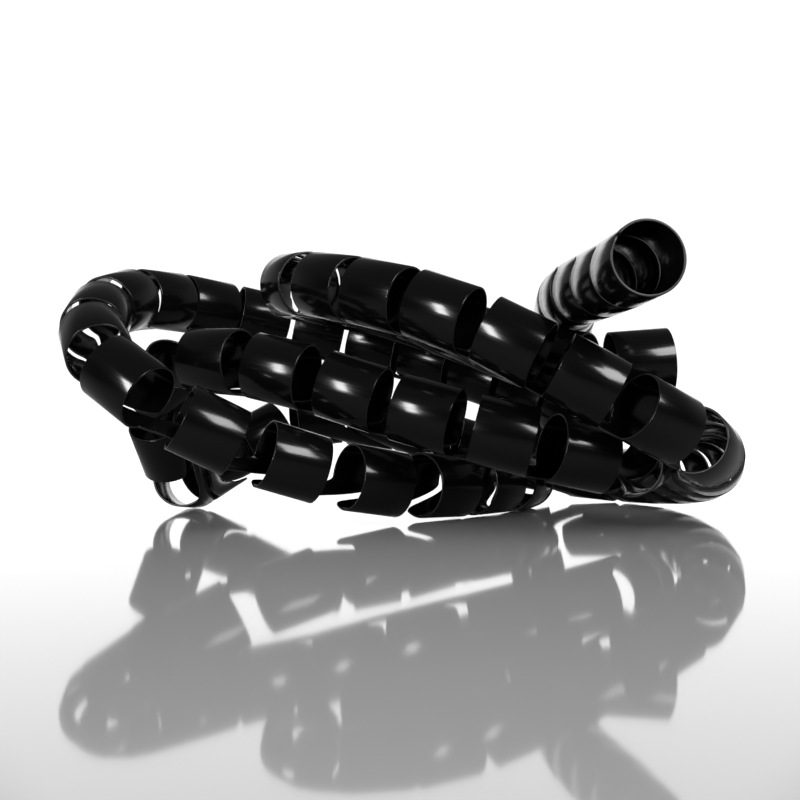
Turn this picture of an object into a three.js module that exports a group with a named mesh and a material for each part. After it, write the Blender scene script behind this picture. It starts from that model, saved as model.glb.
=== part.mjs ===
// Spiral cable wrap: one length of black plastic tube, slit into flat bands, lying in a loose coil.
// Units are millimetres, +Z up, floor at Z = 0.
import * as THREE from "three";

// The tube
const OUTER_DIAMETER = 25;
const WALL = 0.9;
const BAND_WIDTH = 21.5;

// The slit: each band runs square round the tube and then steps over to the next one
const CLOSED_GAP = 0.5;
const STEP_SHARE = 0.16;
const STEP_TURNED = 1.5;

// Fineness of one turn
const BAND_SEGMENTS = 12;
const STEP_SEGMENTS = 4;

// At a square-cut end the band narrows to this before it stops
const SHORTEST_CUT = 1.2;

// The line of the tube's axis from one open end to the other: x, y, z and how far the slit gapes
const ROUTE = [
  [78, -88, 89, 0],
  [74, -60, 87, 0],
  [69, -31, 86, 0],
  [65, -2, 85.5, 0],
  [67, 28, 83, 0],
  [70, 60, 76, 0],
  [70, 90, 60, 0.5],
  [66, 104, 38, 0.5],
  [60, 92, 18, 1],
  [56, 68, 11.9, 2],
  [47, 41, 12.8, 3],
  [29, 16, 12.8, 5],
  [7, -5, 12.9, 8],
  [-17, -20.5, 16.5, 9],
  [-42, -31, 23.5, 8],
  [-65.5, -40, 32.8, 4],
  [-86, -45, 44.8, 1],
  [-103.5, -37, 56.5, 0],
  [-114, -17.5, 68, 0],
  [-118.5, 8, 79.5, 0],
  [-113, 34, 88.5, 0],
  [-98.5, 58, 89.5, 0],
  [-80, 77, 87.5, 0.5],
  [-53, 88, 82, 1.5],
  [-20, 89, 75, 2],
  [14, 80, 66, 2.5],
  [44, 64, 55, 2.5],
  [69, 43, 42.5, 2],
  [88, 18, 30, 0.5],
  [92, -6, 23.5, 0],
  [84, -26, 22, 1],
  [66, -37, 25.5, 1],
  [43, -41, 31, 3],
  [18, -37, 37.5, 6],
  [-7, -28.5, 45, 8],
  [-31, -21.5, 53, 4],
  [-55, -13, 59, 2],
  [-77, -1, 62, 0],
  [-94, 13, 56, 0],
  [-98, 22, 42, 0],
  [-95, 31, 26, 0],
  [-91, 46, 13, 0],
  [-90, 69, 12.6, 0],
  [-80, 90, 19, 0],
  [-63, 102, 33, 1],
  [-38, 110, 41, 2],
  [-6, 116, 37, 3],
  [30, 121, 27, 3],
  [64, 125, 16.5, 2.5],
  [96, 114, 12.6, 0.5],
  [117, 84, 12.7, 0],
  [125, 40, 16, 0],
  [121, 2, 21.5, 1],
  [110, -33, 28.5, 2.5],
  [88, -53, 38.5, 1],
  [66, -55, 50, 3.5],
  [42, -51.5, 63.5, 3.5],
  [17, -43, 76, 1],
  [-6, -30, 83, 0],
  [-27, -12, 88.5, 0],
  [-42, 9, 91.5, 0],
  [-46, 34, 92.5, 0],
  [-31, 54, 91, 0],
  [-5, 54, 86, 0],
  [18, 38, 77.5, 0],
  [37, 15, 69, 0],
  [54, -8, 60.5, 0],
  [75, -20, 57.5, 0],
  [99, -17, 60, 0],
];

const SAMPLES_PER_LEG = 40;

// A smooth line which the route points pull along
function routePoint(index) {
  const last = ROUTE.length - 1;
  const at = (i) => new THREE.Vector3(ROUTE[i][0], ROUTE[i][1], ROUTE[i][2]);
  if (index < 0) {
    return at(0).multiplyScalar(2).sub(at(1));
  }
  if (index > last) {
    return at(last).multiplyScalar(2).sub(at(last - 1));
  }
  return at(index);
}

function axisPoint(leg, t) {
  const weights = [
    (1 - t) ** 3,
    3 * t ** 3 - 6 * t ** 2 + 4,
    -3 * t ** 3 + 3 * t ** 2 + 3 * t + 1,
    t ** 3,
  ];
  const point = new THREE.Vector3();
  weights.forEach((weight, k) => point.addScaledVector(routePoint(leg - 1 + k), weight / 6));
  return point;
}

function axisDirection(leg, t) {
  const weights = [
    -((1 - t) ** 2),
    3 * t ** 2 - 4 * t,
    -3 * t ** 2 + 2 * t + 1,
    t ** 2,
  ];
  const along = new THREE.Vector3();
  weights.forEach((weight, k) => along.addScaledVector(routePoint(leg - 1 + k), weight / 2));
  return along.normalize();
}

// A table of the axis: position, direction, a side vector that never twists, distance and gape
function axisTable() {
  const count = (ROUTE.length - 1) * SAMPLES_PER_LEG;
  const rows = [];
  let distance = 0;
  for (let i = 0; i <= count; i += 1) {
    const leg = Math.min(Math.floor(i / SAMPLES_PER_LEG), ROUTE.length - 2);
    const share = i / SAMPLES_PER_LEG - leg;
    const point = axisPoint(leg, share);
    const along = axisDirection(leg, share);
    const gape = ROUTE[leg][3] * (1 - share) + ROUTE[leg + 1][3] * share;
    let side;
    if (i === 0) {
      side = new THREE.Vector3(0, 0, 1).cross(along).normalize();
    } else {
      const before = rows[i - 1];
      distance += point.distanceTo(before.point);
      const turn = new THREE.Quaternion().setFromUnitVectors(before.along, along);
      side = before.side.clone().applyQuaternion(turn);
      side.addScaledVector(along, -side.dot(along)).normalize();
    }
    rows.push({ point, along, side, distance, gape });
  }
  return rows;
}

function rowAt(table, distance) {
  const last = table[table.length - 1];
  if (distance <= 0) {
    return extended(table[0], distance);
  }
  if (distance >= last.distance) {
    return extended(last, distance - last.distance);
  }
  let low = 0;
  let high = table.length - 1;
  while (high - low > 1) {
    const middle = Math.floor((low + high) / 2);
    if (table[middle].distance <= distance) {
      low = middle;
    } else {
      high = middle;
    }
  }
  const a = table[low];
  const b = table[high];
  const share = (distance - a.distance) / (b.distance - a.distance);
  return {
    point: a.point.clone().lerp(b.point, share),
    along: a.along.clone().lerp(b.along, share).normalize(),
    side: a.side.clone().lerp(b.side, share).normalize(),
    gape: a.gape * (1 - share) + b.gape * share,
  };
}

function extended(row, extra) {
  return {
    point: row.point.clone().addScaledVector(row.along, extra),
    along: row.along,
    side: row.side,
    gape: row.gape,
  };
}

// Distance to the middle of the next band: bands just clear each other on the inside of a bend
function nextBand(table, from, slack) {
  const here = rowAt(table, from);
  const gap = CLOSED_GAP + here.gape + slack;
  let to = from + BAND_WIDTH + gap;
  for (let round = 0; round < 12; round += 1) {
    const there = rowAt(table, to);
    const bend = here.along.angleTo(there.along);
    const middle = here.along.clone().add(there.along).normalize();
    const have = there.point.clone().sub(here.point).dot(middle);
    const need = BAND_WIDTH * Math.cos(bend / 2) + OUTER_DIAMETER * Math.sin(bend / 2) + gap;
    to += need - have;
  }
  return to;
}

function bandsWithSlack(table, slack, count) {
  const middles = [BAND_WIDTH / 2];
  while (middles.length < count) {
    middles.push(nextBand(table, middles[middles.length - 1], slack));
  }
  return middles;
}

// Whole bands fill the route, and what is left over is shared out between them
function bandMiddles(table) {
  const end = table[table.length - 1].distance - BAND_WIDTH / 2;
  let count = 1;
  while (bandsWithSlack(table, 0, count + 1)[count] <= end) {
    count += 1;
  }
  let low = 0;
  let high = BAND_WIDTH / count;
  for (let round = 0; round < 30; round += 1) {
    const slack = (low + high) / 2;
    if (bandsWithSlack(table, slack, count)[count - 1] < end) {
      low = slack;
    } else {
      high = slack;
    }
  }
  return bandsWithSlack(table, low, count);
}

function smooth(share) {
  return share * share * (3 - 2 * share);
}

// Every cut across the band: its middle's distance along the tube, its angle round the tube,
// and where its two edges lie. The tube's ends are cut square, so the band tapers off there.
function cuts(middles, length) {
  const list = [];
  const bandShare = 1 - STEP_SHARE;
  const closedPitch = BAND_WIDTH + CLOSED_GAP;
  const stops = [middles[0] - closedPitch, ...middles, middles[middles.length - 1] + closedPitch];
  const add = (distance, turn) => {
    const low = Math.max(-BAND_WIDTH / 2, -distance);
    const high = Math.min(BAND_WIDTH / 2, length - distance);
    if (high - low >= SHORTEST_CUT) {
      list.push({ distance, turn, low, high });
    }
  };
  stops.slice(0, -1).forEach((stop, k) => {
    const turn = k - 1;
    if (k > 0) {
      for (let i = 0; i <= BAND_SEGMENTS; i += 1) {
        add(stop, turn + (bandShare * i) / BAND_SEGMENTS);
      }
    }
    for (let i = 1; i < STEP_SEGMENTS; i += 1) {
      const share = i / STEP_SEGMENTS;
      add(stop + (stops[k + 1] - stop) * smooth(share), turn + bandShare + STEP_SHARE * share);
    }
  });
  return list;
}

// The four corners of the band's section at one cut
function corners(table, cut) {
  const row = rowAt(table, cut.distance);
  const up = row.along.clone().cross(row.side);
  const angle = STEP_TURNED + 2 * Math.PI * cut.turn;
  const out = row.side.clone().multiplyScalar(Math.cos(angle)).addScaledVector(up, Math.sin(angle));
  const outer = OUTER_DIAMETER / 2;
  const inner = outer - WALL;
  const section = [[outer, cut.low], [outer, cut.high], [inner, cut.high], [inner, cut.low]];
  return section.map(([radius, shift]) => (
    row.point.clone().addScaledVector(out, radius).addScaledVector(row.along, shift)
  ));
}

function bandGeometry() {
  const table = axisTable();
  const length = table[table.length - 1].distance;
  const sections = cuts(bandMiddles(table), length).map((cut) => corners(table, cut));
  const positions = [];
  sections.forEach((section) => section.forEach((p) => positions.push(p.x, p.y, p.z)));
  const faces = [];
  for (let i = 0; i < sections.length - 1; i += 1) {
    for (let k = 0; k < 4; k += 1) {
      const a = i * 4 + k;
      const b = i * 4 + ((k + 1) % 4);
      faces.push(a, b + 4, b, a, a + 4, b + 4);
    }
  }
  const end = (sections.length - 1) * 4;
  faces.push(0, 1, 2, 0, 2, 3);
  faces.push(end, end + 2, end + 1, end, end + 3, end + 2);
  const geometry = new THREE.BufferGeometry();
  geometry.setAttribute("position", new THREE.Float32BufferAttribute(positions, 3));
  geometry.setIndex(faces);
  geometry.computeBoundingBox();
  const { min, max } = geometry.boundingBox;
  geometry.translate(-(min.x + max.x) / 2, -(min.y + max.y) / 2, -min.z);
  geometry.computeVertexNormals();
  return geometry;
}

function spiralWrap() {
  const material = new THREE.MeshStandardMaterial({ color: 0x0b0b0c, roughness: 0.22, metalness: 0 });
  const mesh = new THREE.Mesh(bandGeometry(), material);
  mesh.name = "spiral_wrap";
  return mesh;
}

const part = new THREE.Group();
part.name = "spiral_cable_wrap";
part.add(spiralWrap());

export default part;
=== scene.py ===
"""A loose coil of glossy black spiral cable wrap on a pale, glossy studio floor."""

import math

import bpy
import numpy as np
from mathutils import Matrix, Vector


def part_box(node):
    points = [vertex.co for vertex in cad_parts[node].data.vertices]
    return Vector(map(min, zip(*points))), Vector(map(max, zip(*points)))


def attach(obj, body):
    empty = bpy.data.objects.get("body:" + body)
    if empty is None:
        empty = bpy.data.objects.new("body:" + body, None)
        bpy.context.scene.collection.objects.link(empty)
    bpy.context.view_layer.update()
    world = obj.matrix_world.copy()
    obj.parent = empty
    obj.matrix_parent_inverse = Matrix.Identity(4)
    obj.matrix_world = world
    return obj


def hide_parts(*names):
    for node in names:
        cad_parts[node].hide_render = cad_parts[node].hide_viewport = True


MM = 0.001

# The tube, in millimetres
OUTER_DIAMETER = 25.0
WALL = 0.9
BAND_WIDTH = 21.5
EDGE_ROUNDING = 0.18

# The slit: each band runs square round the tube and then steps over to the next one
CLOSED_GAP = 0.5
STEP_SHARE = 0.16
STEP_TURNED = 1.5

# Fineness of one turn and of a rounded edge
BAND_SEGMENTS = 72
STEP_SEGMENTS = 16
EDGE_SEGMENTS = 2

# At a square-cut end the band narrows to this before it stops
SHORTEST_CUT = 1.2

# The line of the tube's axis from one open end to the other: x, y, z and how far the slit gapes
ROUTE = [
    (78, -88, 89, 0),
    (74, -60, 87, 0),
    (69, -31, 86, 0),
    (65, -2, 85.5, 0),
    (67, 28, 83, 0),
    (70, 60, 76, 0),
    (70, 90, 60, 0.5),
    (66, 104, 38, 0.5),
    (60, 92, 18, 1),
    (56, 68, 11.9, 2),
    (47, 41, 12.8, 3),
    (29, 16, 12.8, 5),
    (7, -5, 12.9, 8),
    (-17, -20.5, 16.5, 9),
    (-42, -31, 23.5, 8),
    (-65.5, -40, 32.8, 4),
    (-86, -45, 44.8, 1),
    (-103.5, -37, 56.5, 0),
    (-114, -17.5, 68, 0),
    (-118.5, 8, 79.5, 0),
    (-113, 34, 88.5, 0),
    (-98.5, 58, 89.5, 0),
    (-80, 77, 87.5, 0.5),
    (-53, 88, 82, 1.5),
    (-20, 89, 75, 2),
    (14, 80, 66, 2.5),
    (44, 64, 55, 2.5),
    (69, 43, 42.5, 2),
    (88, 18, 30, 0.5),
    (92, -6, 23.5, 0),
    (84, -26, 22, 1),
    (66, -37, 25.5, 1),
    (43, -41, 31, 3),
    (18, -37, 37.5, 6),
    (-7, -28.5, 45, 8),
    (-31, -21.5, 53, 4),
    (-55, -13, 59, 2),
    (-77, -1, 62, 0),
    (-94, 13, 56, 0),
    (-98, 22, 42, 0),
    (-95, 31, 26, 0),
    (-91, 46, 13, 0),
    (-90, 69, 12.6, 0),
    (-80, 90, 19, 0),
    (-63, 102, 33, 1),
    (-38, 110, 41, 2),
    (-6, 116, 37, 3),
    (30, 121, 27, 3),
    (64, 125, 16.5, 2.5),
    (96, 114, 12.6, 0.5),
    (117, 84, 12.7, 0),
    (125, 40, 16, 0),
    (121, 2, 21.5, 1),
    (110, -33, 28.5, 2.5),
    (88, -53, 38.5, 1),
    (66, -55, 50, 3.5),
    (42, -51.5, 63.5, 3.5),
    (17, -43, 76, 1),
    (-6, -30, 83, 0),
    (-27, -12, 88.5, 0),
    (-42, 9, 91.5, 0),
    (-46, 34, 92.5, 0),
    (-31, 54, 91, 0),
    (-5, 54, 86, 0),
    (18, 38, 77.5, 0),
    (37, 15, 69, 0),
    (54, -8, 60.5, 0),
    (75, -20, 57.5, 0),
    (99, -17, 60, 0),
]

SAMPLES_PER_LEG = 40

# How often the search for the next band, and for the slack that all bands share, is refined
PITCH_TRIES = 12
SLACK_TRIES = 24

# The plastic's glossy skin, with fine lines that the die left along the tube
SKIN_COLOUR = (0.0012, 0.0012, 0.0013, 1)
SKIN_SPECULAR = 0.2
SKIN_ROUGHNESS = (0.13, 0.2)
PLASTIC_IOR = 1.5
DIE_LINE_SCALE = 1.6
DIE_LINE_STRETCH = 0.02
DIE_LINE_DETAIL = 3
DIE_LINE_RANGE = (0.3, 0.7)
DIE_LINE_STRENGTH = 0.05
DIE_LINE_DEPTH = 0.0002

# The edges that the knife left
CUT_COLOUR = (0.008, 0.008, 0.0085, 1)
CUT_SPECULAR = 0.25
CUT_ROUGHNESS = (0.35, 0.55)
CUT_GRAIN_SCALE = 900

# The floor
FLOOR_HALF = 4.0
FLOOR_COLOUR = (0.8, 0.8, 0.8, 1)
FLOOR_IOR = 1.5
FLOOR_ROUGHNESS = (0.04, 0.06)
FLOOR_GRAIN_SCALE = 30

# The camera: how far it stands from the route's origin, how high, and its picture
CAMERA_BACK = 480.0
CAMERA_HEIGHT = 37.4
FOCAL_PIXELS = 1250.0
PICTURE_PIXELS = 800.0
HORIZON_PIXEL = 422.0
SENSOR_WIDTH = 36
CLIP_START = 0.01
CLIP_END = 50

# The light: how bright the surround is in the picture, on the floor and in reflections
BACKGROUND_WHITE = 1.1
FLOOR_GLOW = 0.56
BACK_GLOW = 1.5
SIDE_GLOW = 0.25
OVERHEAD_GLOW = 0.12
FRONT_GLOW = 0.02

# Where the surround's parts begin and end, from front to back and from level to overhead
FRONT_TO_SIDE = (-0.3, 0.5)
SIDE_TO_BACK = (0.88, 0.93)
LOW_TO_HIGH = (0.3, 0.42)
HIGH_TO_OVERHEAD = (0.3, 0.6)

# The softboxes: azimuth from the front to the right, elevation, width, height and power
RIGHT_SOFTBOX = (45, 31, 0.6, 0.45, 24)
LEFT_SOFTBOX = (-35, 14, 0.2, 0.5, 20)
SOFTBOX_DISTANCE = 1.2
AIM_HEIGHT = 50.0


def unit(vectors):
    """Vectors of length one, along the last axis."""
    return vectors / np.linalg.norm(vectors, axis=-1, keepdims=True)


def axis_table():
    """The axis as arrays: position, direction, a side vector that never twists, distance and gape."""
    rows = np.array(ROUTE, float)
    first = 2 * rows[0] - rows[1]
    last = 2 * rows[-1] - rows[-2]
    points = np.vstack([first, rows, last])[:, :3]
    count = (len(rows) - 1) * SAMPLES_PER_LEG
    place = np.arange(count + 1) / SAMPLES_PER_LEG
    leg = np.minimum(place.astype(int), len(rows) - 2)
    t = (place - leg)[:, None]
    pulls = [(1 - t) ** 3, 3 * t**3 - 6 * t**2 + 4, -3 * t**3 + 3 * t**2 + 3 * t + 1, t**3]
    slopes = [-((1 - t) ** 2), 3 * t**2 - 4 * t, -3 * t**2 + 2 * t + 1, t**2]
    point = sum(pull * points[leg + k] for k, pull in enumerate(pulls)) / 6
    along = unit(sum(slope * points[leg + k] for k, slope in enumerate(slopes)))
    gape = rows[leg, 3] * (1 - t[:, 0]) + rows[leg + 1, 3] * t[:, 0]
    pieces = np.linalg.norm(np.diff(point, axis=0), axis=1)
    distance = np.concatenate([[0.0], np.cumsum(pieces)])
    side = np.zeros_like(point)
    side[0] = unit(np.cross((0, 0, 1), along[0]))
    for i in range(1, count + 1):
        turned = Vector(along[i - 1]).rotation_difference(Vector(along[i])) @ Vector(side[i - 1])
        straight = np.array(turned) - along[i] * np.dot(turned, along[i])
        side[i] = unit(straight)
    return {"point": point, "along": along, "side": side, "distance": distance, "gape": gape}


def row_at(table, distance):
    """The axis's point, direction, side and gape at a distance, straight on beyond its ends."""
    inside = np.clip(distance, 0, table["distance"][-1])
    found = {}
    for name in ("point", "along", "side"):
        columns = [np.interp(inside, table["distance"], table[name][:, k]) for k in range(3)]
        found[name] = np.stack(columns, axis=-1)
    found["along"] = unit(found["along"])
    found["side"] = unit(found["side"])
    found["gape"] = np.interp(inside, table["distance"], table["gape"])
    found["point"] = found["point"] + found["along"] * np.asarray(distance - inside)[..., None]
    return found


def next_band(table, start, slack):
    """Distance to the middle of the next band: bands just clear each other inside a bend."""
    here = row_at(table, start)
    gap = CLOSED_GAP + here["gape"] + slack
    reach = start + BAND_WIDTH + gap
    for _ in range(PITCH_TRIES):
        there = row_at(table, reach)
        bend = math.acos(min(1.0, float(np.dot(here["along"], there["along"]))))
        middle = unit(here["along"] + there["along"])
        have = np.dot(there["point"] - here["point"], middle)
        need = BAND_WIDTH * math.cos(bend / 2) + OUTER_DIAMETER * math.sin(bend / 2) + gap
        reach += need - have
    return reach


def bands_with_slack(table, slack, count):
    """Distances to the middles of a number of bands."""
    middles = [BAND_WIDTH / 2]
    while len(middles) < count:
        middles.append(next_band(table, middles[-1], slack))
    return middles


def band_middles(table):
    """Whole bands fill the route, and what is left over is shared out between them."""
    end = table["distance"][-1] - BAND_WIDTH / 2
    middles = [BAND_WIDTH / 2]
    while middles[-1] <= end:
        middles.append(next_band(table, middles[-1], 0.0))
    count = len(middles) - 1
    low = 0.0
    high = BAND_WIDTH / count
    for _ in range(SLACK_TRIES):
        slack = (low + high) / 2
        if bands_with_slack(table, slack, count)[-1] < end:
            low = slack
        else:
            high = slack
    return bands_with_slack(table, low, count)


def smooth(share):
    """A soft start and stop between 0 and 1."""
    return share * share * (3 - 2 * share)


def cuts(middles, length):
    """Every cut across the band: distance along the tube, turns round it, and its two edges.

    The tube's ends are cut square, so the band tapers off there.
    """
    found = []
    band_share = 1 - STEP_SHARE
    closed_pitch = BAND_WIDTH + CLOSED_GAP
    stops = [middles[0] - closed_pitch, *middles, middles[-1] + closed_pitch]

    def add(distance, turn):
        low = max(-BAND_WIDTH / 2, -distance)
        high = min(BAND_WIDTH / 2, length - distance)
        if high - low >= SHORTEST_CUT:
            found.append((distance, turn, low, high))

    for k, stop in enumerate(stops[:-1]):
        turn = k - 1
        if k > 0:
            for i in range(BAND_SEGMENTS + 1):
                add(stop, turn + band_share * i / BAND_SEGMENTS)
        for i in range(1, STEP_SEGMENTS):
            share = i / STEP_SEGMENTS
            distance = stop + (stops[k + 1] - stop) * smooth(share)
            add(distance, turn + band_share + STEP_SHARE * share)
    return np.array(found).T


def band_section():
    """The band's section with slightly rounded cut edges.

    Each point has a radius, which of the band's two edges it belongs to, and a shift from it.
    """
    outer = OUTER_DIAMETER / 2
    inner = outer - WALL
    corners = [(outer, 0, -1, 1), (outer, 1, -1, -1), (inner, 1, 1, -1), (inner, 0, 1, 1)]
    points = []
    for k, (radius, edge, inward, along) in enumerate(corners):
        first = math.pi - k * math.pi / 2
        for i in range(EDGE_SEGMENTS + 1):
            angle = first - i * math.pi / 2 / EDGE_SEGMENTS
            points.append(
                (
                    radius + EDGE_ROUNDING * (inward + math.sin(angle)),
                    edge,
                    EDGE_ROUNDING * (along + math.cos(angle)),
                )
            )
    return np.array(points)


def wrap_mesh(table):
    """The whole band as one closed mesh, in metres, with a vector for the tube's fine die lines."""
    distances, turns, low, high = cuts(band_middles(table), table["distance"][-1])
    row = row_at(table, distances)
    up = np.cross(row["along"], row["side"])
    angle = STEP_TURNED + 2 * math.pi * turns
    out = np.cos(angle)[:, None] * row["side"] + np.sin(angle)[:, None] * up
    section = band_section()
    ring = len(section)
    edges = np.where(section[None, :, 1] == 0, low[:, None], high[:, None])
    shifts = edges + section[None, :, 2]
    points = (
        row["point"][:, None, :]
        + out[:, None, :] * section[None, :, 0, None]
        + row["along"][:, None, :] * shifts[:, :, None]
    )
    points = points.reshape(-1, 3)
    faces = []
    is_cut = []
    cut_faces = (2 * EDGE_SEGMENTS + 1, ring - 1)
    for i in range(len(distances) - 1):
        for k in range(ring):
            a = i * ring + k
            b = i * ring + (k + 1) % ring
            faces.append((a, a + ring, b + ring, b))
            is_cut.append(int(k in cut_faces))
    end = (len(distances) - 1) * ring
    faces.append(tuple(range(ring)))
    faces.append(tuple(end + k for k in reversed(range(ring))))
    is_cut += [1, 1]
    mesh = bpy.data.meshes.new("spiral_wrap_band")
    mesh.from_pydata((points * MM).tolist(), [], faces)
    lines = np.stack(
        [
            np.repeat(np.cos(angle), ring) * OUTER_DIAMETER / 2,
            np.repeat(np.sin(angle), ring) * OUTER_DIAMETER / 2,
            (distances[:, None] + shifts).ravel(),
        ],
        axis=1,
    )
    attribute = mesh.attributes.new("die_lines", "FLOAT_VECTOR", "POINT")
    attribute.data.foreach_set("vector", lines.astype(np.float32).ravel())
    mesh.polygons.foreach_set("use_smooth", [True] * len(mesh.polygons))
    mesh.polygons.foreach_set("material_index", is_cut)
    mesh.update()
    return mesh


def black_plastic():
    """Glossy black plastic with faint die lines along the tube and small changes of gloss."""
    material = bpy.data.materials.new("black_plastic")
    material.use_nodes = True
    nodes = material.node_tree.nodes
    links = material.node_tree.links
    shader = nodes["Principled BSDF"]
    shader.inputs["Base Color"].default_value = SKIN_COLOUR
    shader.inputs["IOR"].default_value = PLASTIC_IOR
    shader.inputs["Specular IOR Level"].default_value = SKIN_SPECULAR
    lines = nodes.new("ShaderNodeAttribute")
    lines.attribute_name = "die_lines"
    stretch = nodes.new("ShaderNodeVectorMath")
    stretch.operation = "MULTIPLY"
    stretch.inputs[1].default_value = (1.0, 1.0, DIE_LINE_STRETCH)
    links.new(lines.outputs["Vector"], stretch.inputs[0])
    grain = nodes.new("ShaderNodeTexNoise")
    grain.inputs["Scale"].default_value = DIE_LINE_SCALE
    grain.inputs["Detail"].default_value = DIE_LINE_DETAIL
    links.new(stretch.outputs["Vector"], grain.inputs["Vector"])
    gloss = nodes.new("ShaderNodeMapRange")
    gloss.inputs["From Min"].default_value = DIE_LINE_RANGE[0]
    gloss.inputs["From Max"].default_value = DIE_LINE_RANGE[1]
    gloss.inputs["To Min"].default_value = SKIN_ROUGHNESS[0]
    gloss.inputs["To Max"].default_value = SKIN_ROUGHNESS[1]
    links.new(grain.outputs["Fac"], gloss.inputs["Value"])
    links.new(gloss.outputs["Result"], shader.inputs["Roughness"])
    bump = nodes.new("ShaderNodeBump")
    bump.inputs["Strength"].default_value = DIE_LINE_STRENGTH
    bump.inputs["Distance"].default_value = DIE_LINE_DEPTH
    links.new(grain.outputs["Fac"], bump.inputs["Height"])
    links.new(bump.outputs["Normal"], shader.inputs["Normal"])
    return material


def cut_plastic():
    """The same plastic where the knife left it paler and matt."""
    material = bpy.data.materials.new("cut_black_plastic")
    material.use_nodes = True
    nodes = material.node_tree.nodes
    links = material.node_tree.links
    shader = nodes["Principled BSDF"]
    shader.inputs["Base Color"].default_value = CUT_COLOUR
    shader.inputs["Specular IOR Level"].default_value = CUT_SPECULAR
    grain = nodes.new("ShaderNodeTexNoise")
    grain.inputs["Scale"].default_value = CUT_GRAIN_SCALE
    rough = nodes.new("ShaderNodeMapRange")
    rough.inputs["To Min"].default_value = CUT_ROUGHNESS[0]
    rough.inputs["To Max"].default_value = CUT_ROUGHNESS[1]
    links.new(grain.outputs["Fac"], rough.inputs["Value"])
    links.new(rough.outputs["Result"], shader.inputs["Roughness"])
    return material


def floor_material():
    """Pale, glossy acrylic."""
    material = bpy.data.materials.new("floor_acrylic")
    material.use_nodes = True
    nodes = material.node_tree.nodes
    links = material.node_tree.links
    shader = nodes["Principled BSDF"]
    shader.inputs["Base Color"].default_value = FLOOR_COLOUR
    shader.inputs["IOR"].default_value = FLOOR_IOR
    grain = nodes.new("ShaderNodeTexNoise")
    grain.inputs["Scale"].default_value = FLOOR_GRAIN_SCALE
    gloss = nodes.new("ShaderNodeMapRange")
    gloss.inputs["To Min"].default_value = FLOOR_ROUGHNESS[0]
    gloss.inputs["To Max"].default_value = FLOOR_ROUGHNESS[1]
    links.new(grain.outputs["Fac"], gloss.inputs["Value"])
    links.new(gloss.outputs["Result"], shader.inputs["Roughness"])
    return material


def make_floor():
    """A wide flat floor under the coil."""
    mesh = bpy.data.meshes.new("floor")
    around = [(-1, -1), (1, -1), (1, 1), (-1, 1)]
    corners = [(x * FLOOR_HALF, y * FLOOR_HALF, 0) for x, y in around]
    mesh.from_pydata(corners, [], [(0, 1, 2, 3)])
    floor = bpy.data.objects.new("floor", mesh)
    bpy.context.scene.collection.objects.link(floor)
    mesh.materials.append(floor_material())


def ramp(tree, value, low, high, start, stop):
    """A soft change from one number to another while a value runs from start to stop."""
    node = tree.nodes.new("ShaderNodeMapRange")
    node.interpolation_type = "SMOOTHSTEP"
    node.inputs["From Min"].default_value = start
    node.inputs["From Max"].default_value = stop
    node.inputs["To Min"].default_value = low
    node.inputs["To Max"].default_value = high
    tree.links.new(value, node.inputs["Value"])
    return node.outputs["Result"]


def blend(tree, share, a, b):
    """A number between a and b. Either may be a plain number or the output of a node."""
    node = tree.nodes.new("ShaderNodeMix")
    tree.links.new(share, node.inputs["Factor"])
    for value, name in ((a, "A"), (b, "B")):
        if isinstance(value, float):
            node.inputs[name].default_value = value
        else:
            tree.links.new(value, node.inputs[name])
    return node.outputs["Result"]


def make_world():
    """A white surround that shines from behind and low down, and is dark in front."""
    world = bpy.data.worlds.new("studio")
    world.use_nodes = True
    tree = world.node_tree
    background = tree.nodes["Background"]
    background.inputs["Color"].default_value = (1, 1, 1, 1)
    place = tree.nodes.new("ShaderNodeTexCoord")
    split = tree.nodes.new("ShaderNodeSeparateXYZ")
    tree.links.new(place.outputs["Generated"], split.inputs["Vector"])
    path = tree.nodes.new("ShaderNodeLightPath")
    surround = ramp(tree, split.outputs["Y"], FRONT_GLOW, SIDE_GLOW, *FRONT_TO_SIDE)
    ceiling = ramp(tree, split.outputs["Z"], 0.0, 1.0, *HIGH_TO_OVERHEAD)
    dim = blend(tree, ceiling, surround, OVERHEAD_GLOW)
    low = ramp(tree, split.outputs["Z"], 1.0, 0.0, *LOW_TO_HIGH)
    behind = ramp(tree, split.outputs["Y"], 0.0, 1.0, *SIDE_TO_BACK)
    lit = tree.nodes.new("ShaderNodeMath")
    lit.operation = "MULTIPLY"
    tree.links.new(low, lit.inputs[0])
    tree.links.new(behind, lit.inputs[1])
    glossy = blend(tree, lit.outputs["Value"], dim, BACK_GLOW)
    soft = blend(tree, path.outputs["Is Glossy Ray"], FLOOR_GLOW, glossy)
    seen = blend(tree, path.outputs["Is Camera Ray"], soft, BACKGROUND_WHITE)
    tree.links.new(seen, background.inputs["Strength"])
    bpy.context.scene.world = world


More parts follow.
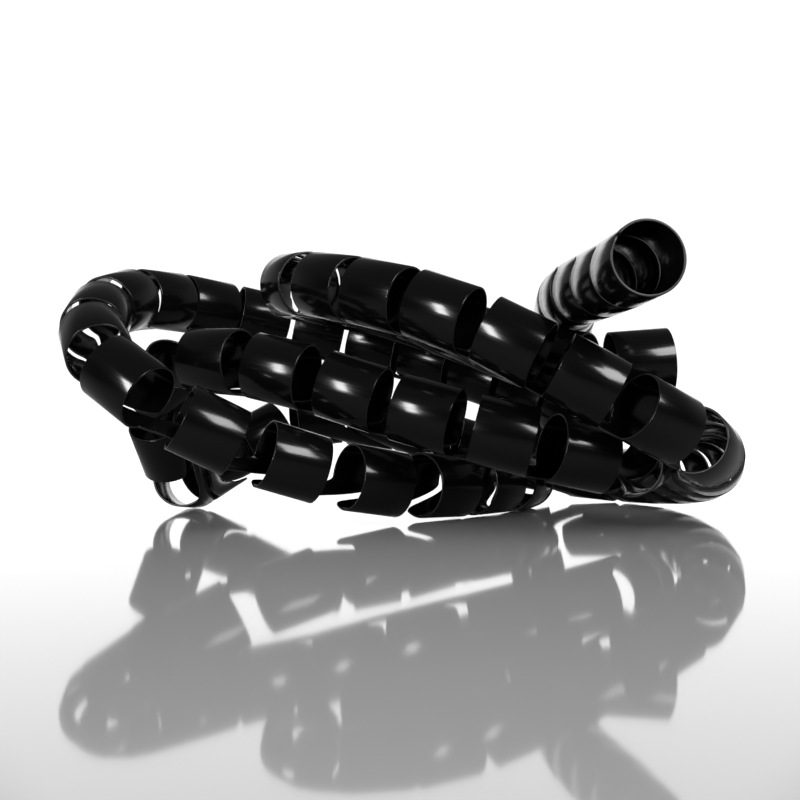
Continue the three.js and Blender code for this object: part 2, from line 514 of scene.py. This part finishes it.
def make_softbox(name, lit, aim, azimuth, elevation, width, height, power):
    """A soft light at an azimuth from the front to the right, and an elevation.

    It shines only on what is in the collection called lit, so the floor stays evenly grey.
    """
    data = bpy.data.lights.new(name, "AREA")
    data.shape = "RECTANGLE"
    data.size = width
    data.size_y = height
    data.energy = power
    light = bpy.data.objects.new(name, data)
    side = math.radians(azimuth)
    rise = math.radians(elevation)
    towards = Vector(
        (math.sin(side) * math.cos(rise), -math.cos(side) * math.cos(rise), math.sin(rise))
    )
    light.location = aim + towards * SOFTBOX_DISTANCE
    light.rotation_euler = towards.to_track_quat("Z", "Y").to_euler()
    light.visible_camera = False
    light.light_linking.receiver_collection = lit
    bpy.context.scene.collection.objects.link(light)


def make_camera(shift):
    """The photograph's view: level, low and square to the front."""
    data = bpy.data.cameras.new("camera")
    data.sensor_width = SENSOR_WIDTH
    data.lens = data.sensor_width * FOCAL_PIXELS / PICTURE_PIXELS
    data.shift_y = (HORIZON_PIXEL - PICTURE_PIXELS / 2) / PICTURE_PIXELS
    data.clip_start = CLIP_START
    data.clip_end = CLIP_END
    camera = bpy.data.objects.new("camera", data)
    camera.location = Vector((0, -CAMERA_BACK, CAMERA_HEIGHT)) * MM + shift
    camera.rotation_euler = (math.radians(90), 0, 0)
    bpy.context.scene.collection.objects.link(camera)
    bpy.context.scene.camera = camera


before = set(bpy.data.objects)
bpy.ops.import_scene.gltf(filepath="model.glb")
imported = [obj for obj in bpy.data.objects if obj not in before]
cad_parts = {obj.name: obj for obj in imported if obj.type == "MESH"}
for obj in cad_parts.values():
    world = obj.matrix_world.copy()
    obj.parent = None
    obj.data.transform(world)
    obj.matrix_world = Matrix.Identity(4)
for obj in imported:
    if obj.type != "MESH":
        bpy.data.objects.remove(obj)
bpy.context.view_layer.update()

table = axis_table()
wrap = bpy.data.objects.new("spiral_wrap_band", wrap_mesh(table))
bpy.context.scene.collection.objects.link(wrap)
wrap.data.materials.append(black_plastic())
wrap.data.materials.append(cut_plastic())
low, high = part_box("spiral_wrap")
own = np.array([v.co for v in wrap.data.vertices])
shift = (low + high) / 2 - Vector((own.min(0) + own.max(0)) / 2)
wrap.data.transform(Matrix.Translation(shift))
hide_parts("spiral_wrap")
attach(wrap, "root")

make_floor()
make_world()
aim = shift + Vector((0, 0, AIM_HEIGHT)) * MM
lit_by_softboxes = bpy.data.collections.new("lit_by_softboxes")
lit_by_softboxes.objects.link(wrap)
make_softbox("right_softbox", lit_by_softboxes, aim, *RIGHT_SOFTBOX)
make_softbox("left_softbox", lit_by_softboxes, aim, *LEFT_SOFTBOX)
bpy.context.scene.view_settings.view_transform = "Standard"
make_camera(shift)
